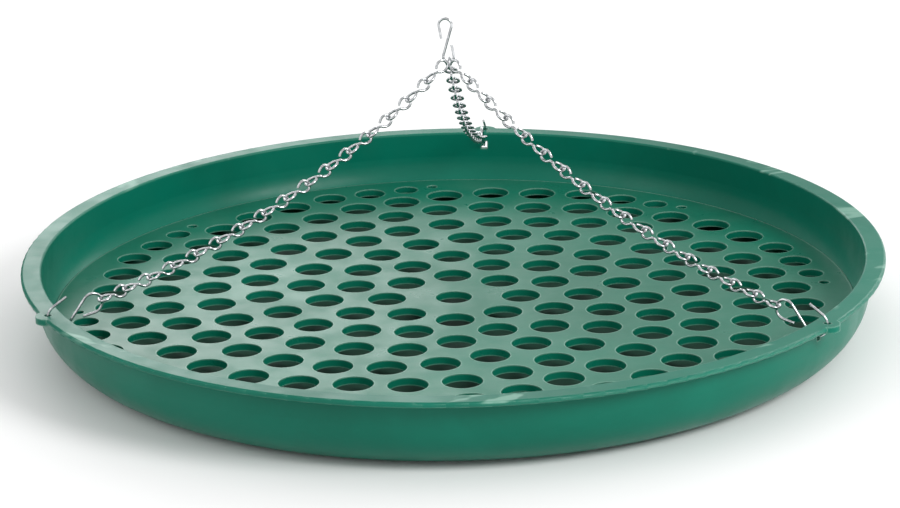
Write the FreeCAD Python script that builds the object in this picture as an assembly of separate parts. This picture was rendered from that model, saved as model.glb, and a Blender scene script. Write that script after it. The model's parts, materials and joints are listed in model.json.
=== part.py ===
import FreeCAD, Part
import math
import os

os.makedirs("parts", exist_ok=True)

# A hanging seed tray: a round moulded tray, a loose perforated platform lying in it, three chains
# hooked to ears on the rim, and one hook above the middle that everything hangs from.
# Millimetres. The origin is the middle of the tray's underside and +Z points up.

# Tray, from the middle outwards and from the underside up.
RIM_HEIGHT = 42.0
LIP_RADIUS = 235.0
LIP_THICKNESS = 3.0
LIP_ROUNDING = 1.2
WALL_OUTER_RADIUS = 227.0
WALL_THICKNESS = 3.0
BOTTOM_ROUNDING = 27.0

# Three ears on the rim that carry the chains.
EAR_ANGLES = {"rear": 90.0, "left": 210.0, "right": 330.0}
EAR_RADIUS_FROM_AXIS = 232.0
EAR_RADIUS = 6.5
EAR_SKIRT_HEIGHT = 3.6
EAR_SKIRT_THICKNESS = 1.5
EAR_HOLE_RADIUS = 1.9
EAR_ROOT_RADIUS = 225.5
WINDOW_WIDTH = 3.6
WINDOW_TOP_BELOW_RIM = 5.5
WINDOW_BOTTOM_BELOW_RIM = 10.2

# Perforated platform.
PLATFORM_TOP = 13.5
PLATFORM_THICKNESS = 4.4
PLATFORM_TOP_RADIUS = 219.4
PLATFORM_BOTTOM_RADIUS = 215.5
HOLE_RADIUS = 10.6
CENTRE_HOLE_RADIUS = 10.0
SMALLEST_HOLE_RADIUS = 2.7
HOLE_WEB = 7.0
HOLE_MARGIN_RADIUS = 208.4
HOLE_SECTORS = 8
BISECTION_STEP = 0.001
WEB_TOLERANCE = 0.05
PATTERN_TURN = 6.0

# Steel wire of the hooks and the chains.
WIRE_DIAMETER = 1.45
WIRE_RADIUS = WIRE_DIAMETER / 2.0
RUNNING_GAP = 0.1

# Rim hooks, an S of wire. "In" runs from the ear hole towards the axis, "up" from the top of the rim.
EAR_LOOP_CENTRE = (6.5, -1.5)
EAR_LOOP_RADIUS = 6.5
EAR_LOOP_START = 120.0
EAR_LOOP_TAIL = 8.5
CHAIN_LOOP_CENTRE = (24.6, 2.6)
CHAIN_LOOP_RADIUS = 5.3
CHAIN_LOOP_END = -80.0
CHAIN_LOOP_TAIL = 6.5

# Chains.
LINK_COUNT = 16
LINK_PITCH = 14.17
CHAIN_TURN = 25.0
LINK_LOOP_RADIUS = 3.4
LINK_NECK_RADIUS = 1.25
APEX_RADIUS = 3.0
SEAT_ROUNDS = 20

# Hanging hook, an S of wire. "Across" is along +X and "up" is from the wire the chains pull on.
SEAT_LOOP_CENTRE = (-0.4, 2.9)
SEAT_LOOP_RADIUS = 2.9
SEAT_LOOP_START = 10.0
SEAT_LOOP_TAIL = 6.5
HANGER_LOOP_CENTRE = (-1.9, 20.5)
HANGER_LOOP_RADIUS = 3.5
HANGER_LOOP_END = 190.0
HANGER_LOOP_TAIL = 7.0

AXIS = FreeCAD.Vector(0, 0, 1)
MIDDLE = FreeCAD.Vector(0, 0, 0)


def save(node, shape):
    """Write one sub-part as its own STEP file."""
    shape.exportStep("parts/" + node + ".step")


def turned(shape, angle):
    """Return a copy turned about the upright axis."""
    copy = shape.copy()
    copy.rotate(MIDDLE, AXIS, angle)
    return copy


def on_circle(centre, radius, angle):
    """Return the point of a circle at an angle in degrees."""
    turn = math.radians(angle)
    return (centre[0] + radius * math.cos(turn), centre[1] + radius * math.sin(turn))


def profile_face(steps):
    """Close a radius-height outline made of lines and arcs into a face in the XZ plane."""
    edges = []
    here = steps[0][-1]
    for step in steps[1:]:
        there = step[-1]
        start = FreeCAD.Vector(here[0], 0, here[1])
        end = FreeCAD.Vector(there[0], 0, there[1])
        if len(step) == 2:
            through = FreeCAD.Vector(step[0][0], 0, step[0][1])
            edges.append(Part.Arc(start, through, end).toShape())
        else:
            edges.append(Part.LineSegment(start, end).toShape())
        here = there
    return Part.Face(Part.Wire(edges))


def make_bowl():
    """Turn the tray's wall, floor and lip in one piece."""
    inner_radius = WALL_OUTER_RADIUS - WALL_THICKNESS
    round_centre = (WALL_OUTER_RADIUS - BOTTOM_ROUNDING, BOTTOM_ROUNDING)
    inner_rounding = BOTTOM_ROUNDING - WALL_THICKNESS
    lip_under = RIM_HEIGHT - LIP_THICKNESS
    lip_edge = LIP_RADIUS - LIP_ROUNDING
    low_centre = (lip_edge, lip_under + LIP_ROUNDING)
    high_centre = (lip_edge, RIM_HEIGHT - LIP_ROUNDING)
    inside_centre = (inner_radius + LIP_ROUNDING, RIM_HEIGHT - LIP_ROUNDING)
    steps = [
        ((0, 0),),
        ((round_centre[0], 0),),
        (on_circle(round_centre, BOTTOM_ROUNDING, -45), (WALL_OUTER_RADIUS, round_centre[1])),
        ((WALL_OUTER_RADIUS, lip_under),),
        ((lip_edge, lip_under),),
        (on_circle(low_centre, LIP_ROUNDING, -45), (LIP_RADIUS, low_centre[1])),
        ((LIP_RADIUS, high_centre[1]),),
        (on_circle(high_centre, LIP_ROUNDING, 45), (lip_edge, RIM_HEIGHT)),
        ((inside_centre[0], RIM_HEIGHT),),
        (on_circle(inside_centre, LIP_ROUNDING, 135), (inner_radius, inside_centre[1])),
        ((inner_radius, round_centre[1]),),
        (on_circle(round_centre, inner_rounding, -45), (round_centre[0], WALL_THICKNESS)),
        ((0, WALL_THICKNESS),),
        ((0, 0),),
    ]
    return profile_face(steps).revolve(MIDDLE, AXIS, 360)


def make_ear():
    """Return one ear at angle zero: a round lug with a thin skirt under its edge."""
    centre = FreeCAD.Vector(EAR_RADIUS_FROM_AXIS, 0, RIM_HEIGHT - LIP_THICKNESS)
    lug = Part.makeCylinder(EAR_RADIUS, LIP_THICKNESS, centre)
    skirt_foot = FreeCAD.Vector(EAR_RADIUS_FROM_AXIS, 0, RIM_HEIGHT - EAR_SKIRT_HEIGHT)
    skirt = Part.makeCylinder(EAR_RADIUS, EAR_SKIRT_HEIGHT, skirt_foot)
    hollow = Part.makeCylinder(EAR_RADIUS - EAR_SKIRT_THICKNESS, EAR_SKIRT_HEIGHT, skirt_foot)
    bowl_space = Part.makeCylinder(EAR_ROOT_RADIUS, RIM_HEIGHT)
    return lug.fuse(skirt.cut(hollow)).cut(bowl_space)


def make_ear_openings():
    """Return the ear hole and the wall window beside it, at angle zero, ready to cut."""
    hole_foot = FreeCAD.Vector(EAR_RADIUS_FROM_AXIS, 0, RIM_HEIGHT - LIP_THICKNESS)
    hole = Part.makeCylinder(EAR_HOLE_RADIUS, LIP_THICKNESS, hole_foot)
    inner_radius = WALL_OUTER_RADIUS - WALL_THICKNESS
    window_height = WINDOW_BOTTOM_BELOW_RIM - WINDOW_TOP_BELOW_RIM
    reach = WALL_THICKNESS + 2 * RUNNING_GAP
    corner_height = RIM_HEIGHT - WINDOW_BOTTOM_BELOW_RIM
    corner = FreeCAD.Vector(inner_radius - RUNNING_GAP, -WINDOW_WIDTH / 2, corner_height)
    window = Part.makeBox(reach, WINDOW_WIDTH, window_height, corner)
    return [hole, window]


def make_tray():
    """Join the ears to the bowl and cut the openings that the rim hooks pass through."""
    ears = [turned(make_ear(), angle) for angle in EAR_ANGLES.values()]
    openings = []
    for angle in EAR_ANGLES.values():
        openings.extend(turned(opening, angle) for opening in make_ear_openings())
    return make_bowl().multiFuse(ears).cut(Part.makeCompound(openings))


def from_middle(hole):
    """Return how far a hole's centre is from the middle of the platform."""
    return math.hypot(hole[0], hole[1])


def in_sector(hole, sector):
    """Return the same hole turned into another sector of the pattern."""
    turn = math.radians(sector * 360.0 / HOLE_SECTORS)
    across = hole[0] * math.cos(turn) - hole[1] * math.sin(turn)
    along = hole[0] * math.sin(turn) + hole[1] * math.cos(turn)
    return (across, along, hole[2])


def beside_both(first, second, radius, side):
    """Return a hole of this radius one web away from both holes, on the chosen side of their line."""
    reach_first = first[2] + HOLE_WEB + radius
    reach_second = second[2] + HOLE_WEB + radius
    step = (second[0] - first[0], second[1] - first[1])
    span = math.hypot(step[0], step[1])
    if span > reach_first + reach_second:
        return None
    along = (reach_first ** 2 - reach_second ** 2 + span ** 2) / (2 * span)
    off_line = side * math.sqrt(max(reach_first ** 2 - along ** 2, 0.0))
    across = first[0] + (along * step[0] - off_line * step[1]) / span
    upward = first[1] + (along * step[1] + off_line * step[0]) / span
    return (across, upward, radius)


def inside_margin(hole):
    """Tell whether a hole exists and stays inside the plain edge band."""
    return hole is not None and from_middle(hole) + hole[2] <= HOLE_MARGIN_RADIUS


def largest_beside(first, second, side):
    """Return the full-size hole beside both, or the largest smaller one the margin allows."""
    full = beside_both(first, second, HOLE_RADIUS, side)
    if inside_margin(full):
        return full
    span = math.hypot(second[0] - first[0], second[1] - first[1])
    least_that_reaches = (span - first[2] - second[2]) / 2 - HOLE_WEB + BISECTION_STEP
    low = max(SMALLEST_HOLE_RADIUS, least_that_reaches)
    high = HOLE_RADIUS
    best = beside_both(first, second, low, side)
    if not inside_margin(best):
        return None
    while high - low > BISECTION_STEP:
        middle = (low + high) / 2
        trial = beside_both(first, second, middle, side)
        if inside_margin(trial):
            low = middle
            best = trial
        else:
            high = middle
    return best


def gap_between(first, second):
    """Return the width of material left between two holes."""
    return math.hypot(first[0] - second[0], first[1] - second[1]) - first[2] - second[2]


def keeps_web(hole, holes):
    """Tell whether a hole leaves the full web to every hole already placed."""
    return all(gap_between(hole, other) > HOLE_WEB - WEB_TOLERANCE for other in holes)


def next_in_row(last, holes):
    """Roll on clockwise: the hole nearest the middle that sits against the last one and another."""
    found = []
    for other in holes:
        gap = gap_between(last, other)
        same_hole = gap < 0
        out_of_reach = gap > 2 * (HOLE_RADIUS + HOLE_WEB)
        if same_hole or out_of_reach:
            continue
        for side in (-1, 1):
            hole = largest_beside(last, other, side)
            if hole is None:
                continue
            clockwise = last[0] * hole[1] - last[1] * hole[0] < 0
            if clockwise and keeps_web(hole, holes):
                found.append(hole)
    return min(found, key=from_middle, default=None)


def platform_holes():
    """Fill the platform row by row, each row resting in the hollows of the row inside it."""
    centre = (0.0, 0.0, CENTRE_HOLE_RADIUS)
    spacing = 2 * HOLE_RADIUS + HOLE_WEB
    first = (spacing / 2 / math.sin(math.pi / HOLE_SECTORS), 0.0, HOLE_RADIUS)
    row = [first]
    holes = [centre] + [in_sector(first, sector) for sector in range(HOLE_SECTORS)]
    while row:
        row_end = in_sector(row[-1], 1)
        starts = [largest_beside(row[0], row_end, side) for side in (-1, 1)]
        starts = [hole for hole in starts if hole is not None and keeps_web(hole, holes)]
        newest = max(starts, key=from_middle, default=None)
        row = []
        while newest is not None:
            row.append(newest)
            holes.extend(in_sector(newest, sector) for sector in range(HOLE_SECTORS))
            newest = next_in_row(newest, holes)
            if newest is not None:
                gap_to_next_row_start = gap_between(newest, in_sector(row[0], -1))
                if gap_to_next_row_start < HOLE_WEB + WEB_TOLERANCE:
                    newest = None
    return holes


def make_platform():
    """Cut the hole pattern through a plate whose edge slopes to suit the tray's rounded wall."""
    foot = FreeCAD.Vector(0, 0, PLATFORM_TOP - PLATFORM_THICKNESS)
    plate = Part.makeCone(PLATFORM_BOTTOM_RADIUS, PLATFORM_TOP_RADIUS, PLATFORM_THICKNESS, foot)
    cutters = []
    for hole in platform_holes():
        cutter_foot = FreeCAD.Vector(hole[0], hole[1], foot.z)
        cutters.append(Part.makeCylinder(hole[2], PLATFORM_THICKNESS, cutter_foot))
    return turned(plate.cut(Part.makeCompound(cutters)), PATTERN_TURN)


def arc_edge(place, centre, radius, start, end):
    """Return an arc of the wire's centre line between two angles, placed in space."""
    points = [place(on_circle(centre, radius, angle)) for angle in (start, (start + end) / 2, end)]
    return Part.Arc(points[0], points[1], points[2]).toShape()


def make_s_hook(place, first, second, crossing):
    """Sweep wire along an S: tail, loop, straight stem, loop turning the other way, tail.

    Each loop is (centre, radius, angle of its tail end, tail length). Crossing is +1 when the first
    loop is followed anticlockwise from its tail, and -1 when it is followed clockwise.
    """
    centre_a, radius_a, angle_a, tail_a = first
    centre_b, radius_b, angle_b, tail_b = second
    span = math.hypot(centre_b[0] - centre_a[0], centre_b[1] - centre_a[1])
    heading = math.degrees(math.atan2(centre_b[1] - centre_a[1], centre_b[0] - centre_a[0]))
    lean = math.degrees(math.acos((radius_a + radius_b) / span))
    leave_a = heading - crossing * lean
    meet_b = leave_a + 180.0
    while crossing * (leave_a - angle_a) < 0:
        leave_a = leave_a + crossing * 360.0
    while crossing * (angle_b - meet_b) > 0:
        angle_b = angle_b - crossing * 360.0
    while crossing * (meet_b - angle_b) > 360.0:
        angle_b = angle_b + crossing * 360.0
    start = on_circle(centre_a, radius_a, angle_a)
    tail_start = on_circle(start, tail_a, angle_a - crossing * 90.0)
    end = on_circle(centre_b, radius_b, angle_b)
    tail_end = on_circle(end, tail_b, angle_b - crossing * 90.0)
    stem_start = on_circle(centre_a, radius_a, leave_a)
    stem_end = on_circle(centre_b, radius_b, meet_b)
    edges = [
        Part.LineSegment(place(tail_start), place(start)).toShape(),
        arc_edge(place, centre_a, radius_a, angle_a, leave_a),
        Part.LineSegment(place(stem_start), place(stem_end)).toShape(),
        arc_edge(place, centre_b, radius_b, meet_b, angle_b),
        Part.LineSegment(place(end), place(tail_end)).toShape(),
    ]
    path = Part.Wire(edges)
    direction = place(start) - place(tail_start)
    section = Part.Wire(Part.makeCircle(WIRE_RADIUS, place(tail_start), direction))
    return path.makePipeShell([section], True, False)


def in_ear_plane(point):
    """Place an (in, up) point of a rim hook in the upright plane through the ear at angle zero."""
    return FreeCAD.Vector(EAR_RADIUS_FROM_AXIS - point[0], 0, RIM_HEIGHT + point[1])


def make_rim_hook():
    """Return the rim hook at angle zero."""
    ear_loop = (EAR_LOOP_CENTRE, EAR_LOOP_RADIUS, EAR_LOOP_START, EAR_LOOP_TAIL)
    chain_loop = (CHAIN_LOOP_CENTRE, CHAIN_LOOP_RADIUS, CHAIN_LOOP_END, CHAIN_LOOP_TAIL)
    return make_s_hook(in_ear_plane, ear_loop, chain_loop, 1)


def chain_points():
    """Return the (in, up) points where the wires bear on each other, in an even slack curve."""
    step = CHAIN_TURN / (LINK_COUNT - 1)
    half_step = math.radians(step / 2)
    chord = LINK_PITCH * math.sin(LINK_COUNT * half_step) / math.sin(half_step)
    reach = CHAIN_LOOP_RADIUS - WIRE_DIAMETER - RUNNING_GAP
    chord_rise = 0.0
    for _ in range(SEAT_ROUNDS):
        seat = on_circle(CHAIN_LOOP_CENTRE, reach, chord_rise - CHAIN_TURN / 2)
        run = EAR_RADIUS_FROM_AXIS - seat[0] - APEX_RADIUS
        chord_rise = math.degrees(math.acos(run / chord))
    points = [seat]
    for index in range(LINK_COUNT):
        heading = chord_rise - CHAIN_TURN / 2 + index * step
        points.append(on_circle(points[-1], LINK_PITCH, heading))
    return points


def make_link(start, direction, sideways):
    """Return one figure-eight link: a loop lying flat, a short neck and an upright loop."""
    length = LINK_PITCH + WIRE_DIAMETER + RUNNING_GAP
    flat_centre = start + direction * LINK_LOOP_RADIUS
    upright_centre = start + direction * (length - LINK_LOOP_RADIUS)
    flat_normal = direction.cross(sideways)
    flat_loop = Part.makeTorus(LINK_LOOP_RADIUS, WIRE_RADIUS, flat_centre, flat_normal)
    upright_loop = Part.makeTorus(LINK_LOOP_RADIUS, WIRE_RADIUS, upright_centre, sideways)
    neck = Part.makeSphere(LINK_NECK_RADIUS, start + direction * (length / 2))
    return flat_loop.fuse(neck).fuse(upright_loop)


def make_chain_links():
    """Return the links of one chain at angle zero, from the rim hook up to the hanging hook."""
    points = [in_ear_plane(point) for point in chain_points()]
    sideways = FreeCAD.Vector(0, 1, 0)
    links = []
    for start, following in zip(points, points[1:]):
        direction = (following - start).normalize()
        links.append(make_link(start, direction, sideways))
    return links


def apex_height():
    """Return how high above the tray's underside the last link bears on the hanging hook."""
    return RIM_HEIGHT + chain_points()[-1][1]


def in_hanger_plane(point):
    """Place an (across, up) point of the hanging hook in its upright plane."""
    return FreeCAD.Vector(point[0], APEX_RADIUS, apex_height() + point[1])


def make_hanging_hook():
    """Return the hook that the tray hangs from."""
    seat_loop = (SEAT_LOOP_CENTRE, SEAT_LOOP_RADIUS, SEAT_LOOP_START, SEAT_LOOP_TAIL)
    hanger_loop = (HANGER_LOOP_CENTRE, HANGER_LOOP_RADIUS, HANGER_LOOP_END, HANGER_LOOP_TAIL)
    return make_s_hook(in_hanger_plane, seat_loop, hanger_loop, -1)


save("tray", make_tray())
save("seed_platform", make_platform())
rim_hook = make_rim_hook()
chain_links = make_chain_links()
for side_name, side_angle in EAR_ANGLES.items():
    save(side_name + "_rim_hook", turned(rim_hook, side_angle))
    for index, link in enumerate(chain_links):
        save(side_name + "_chain_link_" + str(index + 1).zfill(2), turned(link, side_angle))
save("hanging_hook", make_hanging_hook())
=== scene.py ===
import json
import math

import bpy
from mathutils import Matrix, Vector


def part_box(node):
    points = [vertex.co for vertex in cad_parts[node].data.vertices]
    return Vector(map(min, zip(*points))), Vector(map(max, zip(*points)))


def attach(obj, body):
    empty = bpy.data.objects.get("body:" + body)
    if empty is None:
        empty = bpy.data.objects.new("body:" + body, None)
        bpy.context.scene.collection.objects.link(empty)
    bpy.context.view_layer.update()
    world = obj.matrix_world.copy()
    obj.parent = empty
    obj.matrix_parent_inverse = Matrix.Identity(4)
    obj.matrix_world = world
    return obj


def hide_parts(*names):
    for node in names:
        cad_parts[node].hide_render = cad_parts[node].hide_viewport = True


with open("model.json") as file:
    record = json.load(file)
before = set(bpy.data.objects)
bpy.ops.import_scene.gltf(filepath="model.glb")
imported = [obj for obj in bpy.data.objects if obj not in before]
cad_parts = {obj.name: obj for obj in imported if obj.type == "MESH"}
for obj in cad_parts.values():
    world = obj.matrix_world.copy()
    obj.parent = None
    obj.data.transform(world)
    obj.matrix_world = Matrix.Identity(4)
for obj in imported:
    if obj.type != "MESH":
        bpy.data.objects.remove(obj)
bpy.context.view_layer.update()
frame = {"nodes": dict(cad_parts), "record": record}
record = frame["record"]
joints = {joint["child"]: joint for joint in record["behaviour"]["joints"]}

TRAY_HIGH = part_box("tray")[1]
LIP_TOP = TRAY_HIGH.z
LIP_RADIUS = TRAY_HIGH.x

# ---------------------------------------------------------------- chain links, in metres and degrees
SIDES = ("rear", "left", "right")
LINK_COUNT = 16
WIRE_RADIUS = 0.000725
WIRE_FACETS = 14
CUT_END_SHARE = 0.72  # of the radius, where the wire is cut
LINK_LOOP_RADIUS = 0.0034
LOOP_HALF_WIDTH = 0.0031
LOOP_POINTEDNESS = 0.2
RUNNING_GAP = 0.0001
CUT_END_TURN = 30  # round a loop from its neck to the cut end
CROSSING_TURN = 345  # and on to where the wire crosses to the other loop
TURN_STEP = 9
CORNER_CUT = 0.25  # of the step between two points

# ---------------------------------------------------------------- plastic surface, in metres
EDGE_ROUNDING = 0.0006
# painted highlight: a pale tone along edges and corners, standing in for the light the rounded edges
# catch
EDGE_HIGHLIGHT_WIDTH = 0.0015
EDGE_HIGHLIGHT_TONE = (0.34, 0.56, 0.46, 1.0)
RUBBED_TONE = (0.30, 0.52, 0.42, 1.0)
RUBBED_FROM = LIP_TOP - 0.0016
RUBBED_FULLY = LIP_TOP - 0.0004
DUSTY_FLOOR_FULLY = 0.0034
DUSTY_FLOOR_TO = 0.0060
DUSTY_FLOOR_AMOUNT = 0.9
SCUFF_STRETCH = (1.0, 9.0, 3.0)

# noise scales, in features a metre
SWIRL_SCALE = 7.0
RUB_SCALE = 16.0
DUST_SCALE = 24.0
SCUFF_SCALE = 38.0
SHEEN_SCALE = 55.0
ORANGE_PEEL_SCALE = 95.0
SPECK_SCALE = 420.0
GRAIN_SCALE = 1500.0

# ---------------------------------------------------------------- wire surface
ZINC_TONE = (0.58, 0.60, 0.62, 1.0)
DULL_ZINC_TONE = (0.24, 0.25, 0.27, 1.0)
SPANGLE_TONE = (0.93, 0.93, 0.92, 1.0)
DULL_PATCH_SCALE = 260.0
DRAWING_LINE_SCALE = 1100.0
DRAWING_LINE_STRETCH = (1.0, 1.0, 0.25)
SPANGLE_SCALE = 1400.0

# ---------------------------------------------------------------- studio, in metres and watts
FLOOR_SIZE = 12.0
FLOOR_HEIGHT = -0.0004
PAPER_TONES = ((0.86, 0.86, 0.86, 1.0), (0.90, 0.90, 0.90, 1.0))
PAPER_CLOUD_SCALE = 3.0
PAPER_FIBRE_SCALE = 350.0
SURROUND_STRENGTH = 0.80
LIGHTS = (
    # name, place, disk diameter, power
    ("key_above_right", (1.5, -0.9, 1.2), 0.9, 26.0),
    ("fill_left", (-1.5, -1.0, 1.1), 1.2, 5.0),
    ("rim_behind", (-0.7, 1.9, 0.9), 1.2, 10.0),
    ("rim_behind_right", (1.0, 1.8, 0.8), 1.1, 6.0),
)

# ---------------------------------------------------------------- camera, lens and sensor in millimetres
CAMERA_DISTANCE = 7.43 * LIP_RADIUS
CAMERA_ELEVATION = math.radians(18.37)
CAMERA_AZIMUTH = math.radians(-84.7)
CAMERA_ROLL = math.radians(-1.24)
CAMERA_LENS = 127.6
CAMERA_SENSOR_WIDTH = 36.0
CAMERA_NEAREST = 0.05
CAMERA_FARTHEST = 50.0
AIM_ACROSS = -0.0069 * LIP_RADIUS
AIM_UP = -0.0149 * LIP_RADIUS


# ---------------------------------------------------------------- shader helpers
class Shader:
    """Builds one procedural node material in the coordinates of the object that wears it."""

    def __init__(self, name):
        self.material = bpy.data.materials.new(name)
        self.material.use_nodes = True
        self.tree = self.material.node_tree
        self.tree.nodes.clear()
        self.output = self.tree.nodes.new("ShaderNodeOutputMaterial")
        self.coordinates = self.node("ShaderNodeTexCoord").outputs["Object"]

    def node(self, kind, **settings):
        made = self.tree.nodes.new(kind)
        for key, value in settings.items():
            setattr(made, key, value)
        return made

    def feed(self, socket, value):
        """Link an output to a socket, or set the socket to a plain value."""
        if isinstance(value, bpy.types.NodeSocket):
            self.tree.links.new(value, socket)
        else:
            socket.default_value = value

    def stretched(self, scale):
        mapping = self.node("ShaderNodeMapping")
        self.feed(mapping.inputs["Vector"], self.coordinates)
        mapping.inputs["Scale"].default_value = scale
        return mapping.outputs["Vector"]

    def noise(self, scale, detail, roughness=0.5, vector=None, distortion=0.0):
        made = self.node("ShaderNodeTexNoise")
        self.feed(made.inputs["Vector"], vector or self.coordinates)
        made.inputs["Scale"].default_value = scale
        made.inputs["Detail"].default_value = detail
        made.inputs["Roughness"].default_value = roughness
        made.inputs["Distortion"].default_value = distortion
        return made.outputs["Fac"]

    def remap(self, value, low, high, to_low=0.0, to_high=1.0):
        """Carry low..high over to to_low..to_high with soft shoulders, clamped at both."""
        made = self.node("ShaderNodeMapRange", interpolation_type="SMOOTHSTEP")
        self.feed(made.inputs["Value"], value)
        made.inputs["From Min"].default_value = low
        made.inputs["From Max"].default_value = high
        made.inputs["To Min"].default_value = to_low
        made.inputs["To Max"].default_value = to_high
        return made.outputs["Result"]

    def math(self, operation, first, second):
        made = self.node("ShaderNodeMath", operation=operation)
        self.feed(made.inputs[0], first)
        self.feed(made.inputs[1], second)
        return made.outputs[0]

    def mix(self, factor, first, second):
        """Blend two colours. The mix node keeps its colour sockets at 6 and 7, and at output 2."""
        made = self.node("ShaderNodeMix", data_type="RGBA")
        self.feed(made.inputs[0], factor)
        self.feed(made.inputs[6], first)
        self.feed(made.inputs[7], second)
        return made.outputs[2]

    def bump(self, height, strength, distance, normal=None):
        made = self.node("ShaderNodeBump")
        self.feed(made.inputs["Height"], height)
        made.inputs["Strength"].default_value = strength
        made.inputs["Distance"].default_value = distance
        if normal is not None:
            self.feed(made.inputs["Normal"], normal)
        return made.outputs["Normal"]

    def softened_edges(self, radius):
        made = self.node("ShaderNodeBevel", samples=4)
        made.inputs["Radius"].default_value = radius
        return made.outputs["Normal"]

    def edge_amount(self, edges):
        """How far the softened normal leans away from the true one: 1 along edges, 0 elsewhere."""
        geometry = self.node("ShaderNodeNewGeometry")
        lean = self.node("ShaderNodeVectorMath", operation="DOT_PRODUCT")
        self.feed(lean.inputs[0], edges)
        self.feed(lean.inputs[1], geometry.outputs["Normal"])
        return self.remap(lean.outputs["Value"], low=0.84, high=0.985, to_low=1.0, to_high=0.0)

    def surface(self, **inputs):
        """Finish the material. Each underscore in a socket's name stands for a space."""
        made = self.node("ShaderNodeBsdfPrincipled")
        for name, value in inputs.items():
            self.feed(made.inputs[name.replace("_", " ")], value)
        self.tree.links.new(made.outputs["BSDF"], self.output.inputs["Surface"])
        return self.material


# ---------------------------------------------------------------- green plastic
def height_and_upness(shader):
    """Height above the object's own origin, and how far the surface faces up."""
    place = shader.node("ShaderNodeSeparateXYZ")
    shader.feed(place.inputs[0], shader.coordinates)
    geometry = shader.node("ShaderNodeNewGeometry")
    facing = shader.node("ShaderNodeSeparateXYZ")
    shader.feed(facing.inputs[0], geometry.outputs["Normal"])
    return place.outputs["Z"], facing.outputs["Z"]


def mottled_pigment(shader, deep, light):
    """Slow swirls from the deep tone to the light one, with light specks."""
    swirls = shader.noise(SWIRL_SCALE, detail=5.0, roughness=0.55, distortion=0.6)
    specks = shader.noise(SPECK_SCALE, detail=2.0)
    colour = shader.mix(shader.remap(swirls, low=0.3, high=0.7), deep, light)
    return shader.mix(shader.remap(specks, low=0.55, high=0.8, to_high=0.25), colour, light)


def scuff_marks(shader):
    """Long thin marks, 1 inside a mark."""
    field = shader.noise(
        SCUFF_SCALE, detail=6.0, roughness=0.7, vector=shader.stretched(SCUFF_STRETCH)
    )
    return shader.remap(field, low=0.62, high=0.74)


def dust_cover(shader, height, upness, amount, dusty_floor):
    """Share of dust: patchy on faces that look up, heavy on the floor below the platform."""
    field = shader.noise(DUST_SCALE, detail=8.0, roughness=0.65)
    patches = shader.remap(field, low=0.35, high=0.75, to_low=0.2)
    dust = shader.math("MULTIPLY", patches, shader.remap(upness, low=0.4, high=0.98))
    dust = shader.math("MULTIPLY", dust, amount)
    if dusty_floor:
        low_down = shader.remap(
            height, low=DUSTY_FLOOR_FULLY, high=DUSTY_FLOOR_TO, to_low=1.0, to_high=0.0
        )
        on_floor = shader.math("MULTIPLY", low_down, shader.remap(upness, low=0.5, high=0.9))
        floor_dust = shader.math("MULTIPLY", on_floor, DUSTY_FLOOR_AMOUNT)
        dust = shader.math("MAXIMUM", dust, floor_dust)
    return dust


def painted_edge_highlights(shader, amount):
    """Share of painted highlight along edges and corners, a pale tone standing in for the light their
    rounding catches.
    """
    edges = shader.edge_amount(shader.softened_edges(EDGE_HIGHLIGHT_WIDTH))
    return shader.math("MULTIPLY", edges, amount)


def rubbed_rim(shader, height):
    """Share of pale rubbing, in patches on the very top of the lip."""
    field = shader.noise(RUB_SCALE, detail=3.0, roughness=0.6, distortion=1.5)
    on_rim = shader.remap(height, low=RUBBED_FROM, high=RUBBED_FULLY)
    return shader.math("MULTIPLY", on_rim, shader.remap(field, low=0.60, high=0.66, to_high=0.45))


def uneven_roughness(shader, roughness, scuffs, dust):
    """Roughness that wanders about its middle value and rises in scuffs and dust."""
    sheen = shader.noise(SHEEN_SCALE, detail=5.0)
    rough = shader.remap(
        sheen, low=0.3, high=0.7, to_low=roughness - 0.05, to_high=roughness + 0.06
    )
    rough = shader.math("ADD", rough, shader.math("MULTIPLY", scuffs, 0.10))
    return shader.math("ADD", rough, shader.math("MULTIPLY", dust, 0.45))


def fine_relief(shader, scuffs):
    """Softened edges under an orange-peel skin, a fine grain and the scuffs."""
    edges = shader.softened_edges(EDGE_ROUNDING)
    peel = shader.noise(ORANGE_PEEL_SCALE, detail=3.0)
    grain = shader.noise(GRAIN_SCALE, detail=2.0)
    relief = shader.bump(peel, strength=0.10, distance=0.0006, normal=edges)
    relief = shader.bump(grain, strength=0.14, distance=0.00012, normal=relief)
    return shader.bump(scuffs, strength=0.08, distance=0.00008, normal=relief)


def moulded_plastic(
    name, deep, light, dusty, roughness, edge_highlight, gloss, dust_amount, dusty_floor
):
    """Semi-gloss moulded plastic: mottled pigment, orange-peel skin, fine grain, scuffs and dust."""
    shader = Shader(name)
    height, upness = height_and_upness(shader)
    scuffs = scuff_marks(shader)
    dust = dust_cover(shader, height, upness, dust_amount, dusty_floor)
    colour = mottled_pigment(shader, deep, light)
    colour = shader.mix(dust, colour, dusty)
    # painted highlight along the edges, mixed into the colour
    colour = shader.mix(painted_edge_highlights(shader, edge_highlight), colour, EDGE_HIGHLIGHT_TONE)
    colour = shader.mix(rubbed_rim(shader, height), colour, RUBBED_TONE)
    return shader.surface(
        Base_Color=colour,
        Roughness=uneven_roughness(shader, roughness, scuffs, dust),
        IOR=1.46,
        Specular_IOR_Level=gloss,
        Normal=fine_relief(shader, scuffs),
    )


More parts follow.
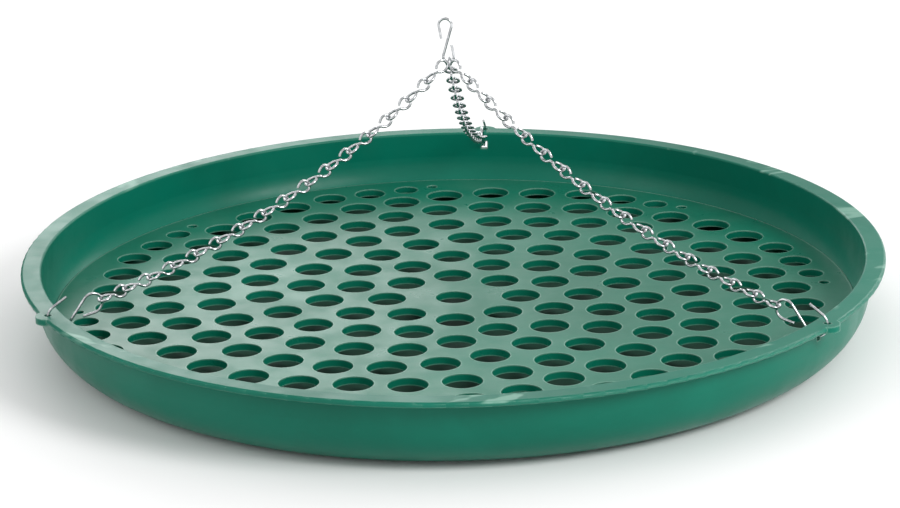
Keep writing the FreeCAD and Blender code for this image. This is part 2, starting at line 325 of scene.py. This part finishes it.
# ---------------------------------------------------------------- zinc-plated wire
def zinc_wire(name):
    """Bright zinc-plated drawn steel wire with faint spangle, drawing lines and duller patches."""
    shader = Shader(name)
    patches = shader.noise(DULL_PATCH_SCALE, detail=5.0, roughness=0.6)
    spangle = shader.node("ShaderNodeTexVoronoi")
    shader.feed(spangle.inputs["Vector"], shader.coordinates)
    spangle.inputs["Scale"].default_value = SPANGLE_SCALE
    glint = shader.math("MULTIPLY", spangle.outputs["Distance"], 0.35)
    tone = shader.mix(shader.remap(patches, low=0.35, high=0.7), ZINC_TONE, DULL_ZINC_TONE)
    tone = shader.mix(glint, tone, SPANGLE_TONE)
    rough = shader.remap(patches, low=0.3, high=0.75, to_low=0.08, to_high=0.26)
    lines = shader.noise(
        DRAWING_LINE_SCALE, detail=3.0, vector=shader.stretched(DRAWING_LINE_STRETCH)
    )
    normal = shader.bump(lines, strength=0.16, distance=0.00006)
    return shader.surface(Base_Color=tone, Metallic=1.0, Roughness=rough, Normal=normal)


# ---------------------------------------------------------------- materials on the pieces
tray_plastic = moulded_plastic(
    "tray_green_plastic",
    deep=(0.0003, 0.120, 0.076, 1.0),
    light=(0.0008, 0.156, 0.101, 1.0),
    dusty=(0.034, 0.085, 0.060, 1.0),
    roughness=0.33,
    edge_highlight=0.45,
    gloss=0.22,
    dust_amount=0.06,
    dusty_floor=True,
)
platform_plastic = moulded_plastic(
    "platform_green_plastic",
    deep=(0.0008, 0.118, 0.070, 1.0),
    light=(0.0025, 0.152, 0.094, 1.0),
    dusty=(0.15, 0.27, 0.21, 1.0),
    roughness=0.30,
    edge_highlight=0.6,
    gloss=0.27,
    dust_amount=0.14,
    dusty_floor=False,
)
wire_metal = zinc_wire("zinc_plated_wire")

slot_material = {"tray": tray_plastic, "platform": platform_plastic, "wire": wire_metal}
for subpart in record["subparts"]:
    mesh = frame["nodes"][subpart["node"]].data
    mesh.materials.clear()
    mesh.materials.append(slot_material[subpart["material_slot"]])


# ---------------------------------------------------------------- bent-wire chain links
def teardrop(degrees):
    """A point of a loop, along and across from its middle. The loop narrows to its neck, at zero."""
    turn = math.radians(degrees)
    narrowing = 1.0 - LOOP_POINTEDNESS * math.cos(turn)
    return LINK_LOOP_RADIUS * math.cos(turn), LOOP_HALF_WIDTH * math.sin(turn) * narrowing


def link_centre_line(length):
    """Points of one wire bent into a figure eight, the second loop square to the first."""
    points = []
    for degrees in range(CUT_END_TURN, CROSSING_TURN + 1, TURN_STEP):
        along, across = teardrop(degrees)
        points.append(Vector((LINK_LOOP_RADIUS + along, across, 0.0)))
    for degrees in range(360 - CROSSING_TURN, 360 - CUT_END_TURN + 1, TURN_STEP):
        along, across = teardrop(degrees)
        points.append(Vector((length - LINK_LOOP_RADIUS - along, 0.0, across)))
    return points


def with_corners_cut(points):
    """The line of points with every corner cut off and its ends kept."""
    finer = [points[0]]
    for first, second in zip(points, points[1:]):
        finer.append(first.lerp(second, CORNER_CUT))
        finer.append(first.lerp(second, 1.0 - CORNER_CUT))
    finer.append(points[-1])
    return finer


def rings_along(points, radius, facets):
    """Rings of vertices square to a line of points, none twisted against the one before."""
    last = len(points) - 1
    tangents = [
        (points[min(index + 1, last)] - points[max(index - 1, 0)]).normalized()
        for index in range(len(points))
    ]
    across = tangents[0].orthogonal().normalized()
    rings = []
    for index, (point, tangent) in enumerate(zip(points, tangents)):
        across = (across - tangent * across.dot(tangent)).normalized()
        beside = tangent.cross(across)
        reach = radius * CUT_END_SHARE if index in (0, last) else radius
        ring = []
        for facet in range(facets):
            turn = 2.0 * math.pi * facet / facets
            ring.append(point + across * reach * math.cos(turn) + beside * reach * math.sin(turn))
        rings.append(ring)
    return rings


def wire_mesh(name, points, radius, facets):
    """Skin a line of points with a round wire, a little thinner at its two cut ends."""
    rings = rings_along(points, radius, facets)
    vertices = [vertex for ring in rings for vertex in ring]
    faces = []
    for row in range(len(rings) - 1):
        low = row * facets
        high = low + facets
        for facet in range(facets):
            following = (facet + 1) % facets
            faces.append((low + facet, low + following, high + following, high + facet))
    faces.append(tuple(reversed(range(facets))))
    faces.append(tuple(range(len(vertices) - facets, len(vertices))))
    mesh = bpy.data.meshes.new(name)
    mesh.from_pydata(vertices, [], faces)
    mesh.polygons.foreach_set("use_smooth", [len(face) == 4 for face in faces])
    mesh.materials.append(wire_metal)
    return mesh


def joint_point(node):
    """Where the joint that carries a node is, in the part's frame."""
    return Vector(joints[node]["pos_m"])


def headings_along(points):
    """The way from each point to the next, and on past the last one with the same turn again."""
    headings = [(after - before).normalized() for before, after in zip(points, points[1:])]
    headings.append(headings[-2].rotation_difference(headings[-1]) @ headings[-1])
    return headings


link_pitch = (joint_point("rear_chain_link_02") - joint_point("rear_chain_link_01")).length
link_length = link_pitch + 2.0 * WIRE_RADIUS + RUNNING_GAP
link_points = with_corners_cut(link_centre_line(link_length))
link_mesh = wire_mesh("bent_wire_link", link_points, WIRE_RADIUS, WIRE_FACETS)

for side in SIDES:
    nodes = [f"{side}_chain_link_{number:02d}" for number in range(1, LINK_COUNT + 1)]
    points = [joint_point(node) for node in nodes]
    sideways = Vector(joints[nodes[0]]["axis"]).normalized()
    for node, point, along in zip(nodes, points, headings_along(points)):
        upright = along.cross(sideways)
        turn = Matrix((along, sideways, upright)).transposed().to_4x4()
        link = bpy.data.objects.new(node + "_wire", link_mesh)
        bpy.context.scene.collection.objects.link(link)
        link.matrix_world = Matrix.Translation(point) @ turn
        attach(link, node)
        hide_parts(node)


# ---------------------------------------------------------------- studio
def plain_floor():
    bpy.ops.mesh.primitive_plane_add(size=FLOOR_SIZE, location=(0.0, 0.0, FLOOR_HEIGHT))
    floor = bpy.context.object
    floor.name = "studio_floor"
    shader = Shader("studio_floor_paper")
    tone = shader.mix(shader.noise(PAPER_CLOUD_SCALE, detail=4.0), *PAPER_TONES)
    fibres = shader.noise(PAPER_FIBRE_SCALE, detail=3.0)
    normal = shader.bump(fibres, strength=0.05, distance=0.0003)
    floor.data.materials.append(shader.surface(Base_Color=tone, Roughness=0.85, Normal=normal))


def area_light(name, place, aim, diameter, power):
    data = bpy.data.lights.new(name, "AREA")
    data.shape = "DISK"
    data.size = diameter
    data.energy = power
    lamp = bpy.data.objects.new(name, data)
    bpy.context.scene.collection.objects.link(lamp)
    lamp.location = place
    lamp.rotation_euler = (aim - Vector(place)).to_track_quat("-Z", "Y").to_euler()


def white_surround(strength):
    world = bpy.data.worlds.new("white_surround")
    world.use_nodes = True
    background = world.node_tree.nodes["Background"]
    background.inputs["Color"].default_value = (1.0, 1.0, 1.0, 1.0)
    background.inputs["Strength"].default_value = strength
    bpy.context.scene.world = world


lip_middle = Vector((0.0, 0.0, LIP_TOP))

plain_floor()
white_surround(SURROUND_STRENGTH)
for name, place, diameter, power in LIGHTS:
    area_light(name, place, lip_middle, diameter, power)
bpy.context.scene.view_settings.view_transform = "Standard"


# ---------------------------------------------------------------- camera
def camera_towards(middle):
    """A camera on a sphere about middle, aimed a little beside and below it."""
    outward = Vector((math.cos(CAMERA_AZIMUTH), math.sin(CAMERA_AZIMUTH), 0.0))
    rightward = Vector((-math.sin(CAMERA_AZIMUTH), math.cos(CAMERA_AZIMUTH), 0.0))
    place = middle + outward * CAMERA_DISTANCE * math.cos(CAMERA_ELEVATION)
    place.z += CAMERA_DISTANCE * math.sin(CAMERA_ELEVATION)
    aim = middle + rightward * AIM_ACROSS + Vector((0.0, 0.0, AIM_UP))

    data = bpy.data.cameras.new("photo_angle")
    data.sensor_width = CAMERA_SENSOR_WIDTH
    data.lens = CAMERA_LENS
    data.clip_start = CAMERA_NEAREST
    data.clip_end = CAMERA_FARTHEST
    data.dof.use_dof = False
    camera = bpy.data.objects.new("photo_angle", data)
    bpy.context.scene.collection.objects.link(camera)
    look = (aim - place).to_track_quat("-Z", "Y").to_matrix().to_4x4()
    camera.matrix_world = Matrix.Translation(place) @ look @ Matrix.Rotation(CAMERA_ROLL, 4, "Z")
    return camera


bpy.context.scene.camera = camera_towards(lip_middle)
